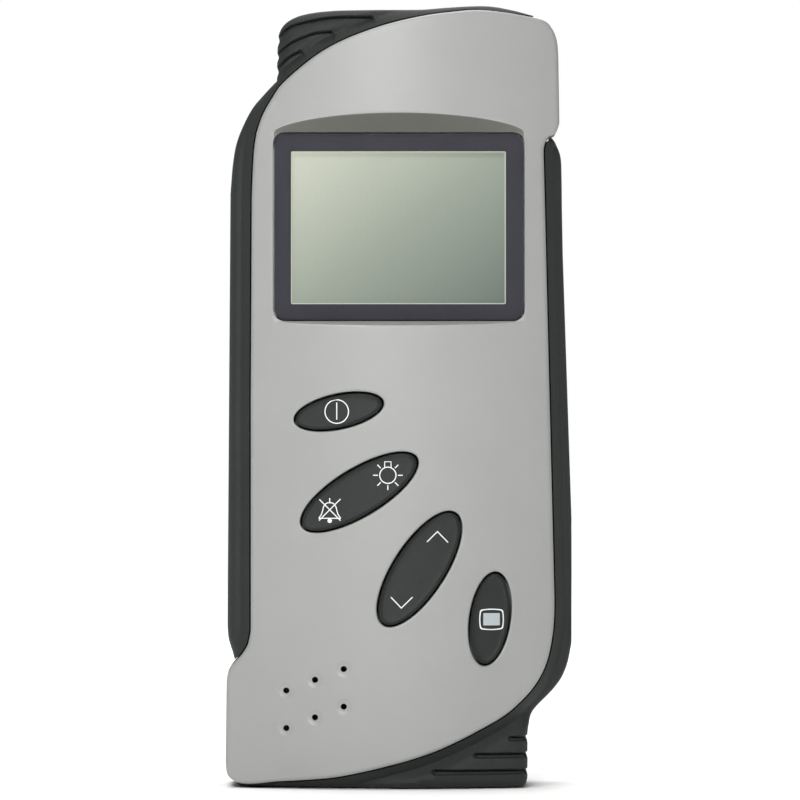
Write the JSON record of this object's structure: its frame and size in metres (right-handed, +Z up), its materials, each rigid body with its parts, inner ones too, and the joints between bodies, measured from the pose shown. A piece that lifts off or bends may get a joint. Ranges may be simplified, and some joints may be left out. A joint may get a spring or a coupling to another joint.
{
  "type": "handheld microchip scanner",
  "caption": "Handheld reader with a light face, rubber side grips with ribbed ends, a small display, leaf-shaped keys and a battery door at the back.",
  "frame": {"origin": "middle of the box at the foot's flat face, on the surface that the case stands on", "axes": "+Z up the length of the case to the head, -Y the way the display and the keys face, +X to the right of someone who looks at the display"},
  "size_m": [0.0696, 0.0348, 0.1565],
  "materials": {
    "light_case": "moulded ABS, fine spark texture, light grey",
    "dark_case": "moulded ABS, fine spark texture, dark grey",
    "grip_rubber": "soft-touch elastomer, dark grey",
    "key_rubber": "moulded silicone keys with printed white signs",
    "window": "clear acrylic with a border printed behind",
    "foam": "closed-cell foam",
    "steel": "plated sheet and screws",
    "lcd": "reflective LCD glass, grey-green",
    "white_plastic": "moulded, white",
    "flex_film": "polyimide film with copper tracks",
    "silicone": "moulded, matt grey",
    "circuit_board": "glass-epoxy with green solder resist",
    "chip_plastic": "moulded epoxy, black",
    "ferrite": "sintered ferrite, ground",
    "copper": "enamelled copper wire",
    "cell_sleeve": "printed sleeve over a metal can",
    "brass": "pressed strip"
  },
  "bodies": {
    "case": {"front_cover": "light_case", "rear_cover": "dark_case", "left_grip": "grip_rubber", "right_grip": "grip_rubber", "display_window": "window", "window_gasket": "foam", "lcd_frame": "steel", "lcd_glass": "lcd", "backlight": "white_plastic", "lcd_flex": "flex_film", "keypad_mat": "silicone", "key_board": "circuit_board", "board_header": "chip_plastic", "power_dome": "steel", "mute_dome": "steel", "light_dome": "steel", "up_dome": "steel", "down_dome": "steel", "display_dome": "steel", "main_board": "circuit_board", "processor": "chip_plastic", "reader_chip": "chip_plastic", "shield_can": "steel", "speaker_gasket": "foam", "speaker": "steel", "board_screw_1": "steel", "board_screw_2": "steel", "board_screw_3": "steel", "case_screw_1": "steel", "case_screw_2": "steel", "case_screw_3": "steel", "case_screw_4": "steel", "ferrite_rod": "ferrite", "antenna_coil": "copper", "rod_holder_left": "white_plastic", "rod_holder_right": "white_plastic", "battery_cell_1": "cell_sleeve", "battery_cell_2": "cell_sleeve", "battery_cell_3": "cell_sleeve", "contact_spring_1": "steel", "contact_spring_2": "steel", "contact_spring_3": "steel", "contact_plate_1": "brass", "contact_plate_2": "brass", "contact_plate_3": "brass"},
    "power_key": {"power_button": "key_rubber"},
    "display_key": {"display_button": "key_rubber"},
    "light_mute_key": {"light_mute_rocker": "key_rubber"},
    "up_down_key": {"up_down_rocker": "key_rubber"},
    "door": {"battery_door": "dark_case"},
    "latch": {"door_latch": "dark_case"}
  },
  "joints": [
    {"name": "power_press", "type": "slide", "parent": "case", "child": "power_key", "axis": [0, 1, 0], "range_m": [0, 0.0007], "stiffness_N_per_m": 1200},
    {"name": "display_press", "type": "slide", "parent": "case", "child": "display_key", "axis": [0, 1, 0], "range_m": [0, 0.0007], "stiffness_N_per_m": 1200},
    {"name": "light_mute_rock", "type": "hinge", "parent": "case", "child": "light_mute_key", "pos_m": [-0.0079, -0.013, 0.0592], "axis": [-0.515, 0, 0.8572], "range_deg": [-3, 3], "stiffness_Nm_per_rad": 0.2},
    {"name": "up_down_rock", "type": "hinge", "parent": "case", "child": "up_down_key", "pos_m": [0.0041, -0.013, 0.0439], "axis": [-0.8387, 0, 0.5446], "range_deg": [-3, 3], "stiffness_Nm_per_rad": 0.2},
    {"name": "door_hinge", "type": "hinge", "parent": "case", "child": "door", "pos_m": [0, 0.0172, 0.0177], "axis": [-1, 0, 0], "range_deg": [0, 100]},
    {"name": "latch_slide", "type": "slide", "parent": "door", "child": "latch", "axis": [0, 0, -1], "range_m": [0, 0.0025], "stiffness_N_per_m": 300}
  ]
}
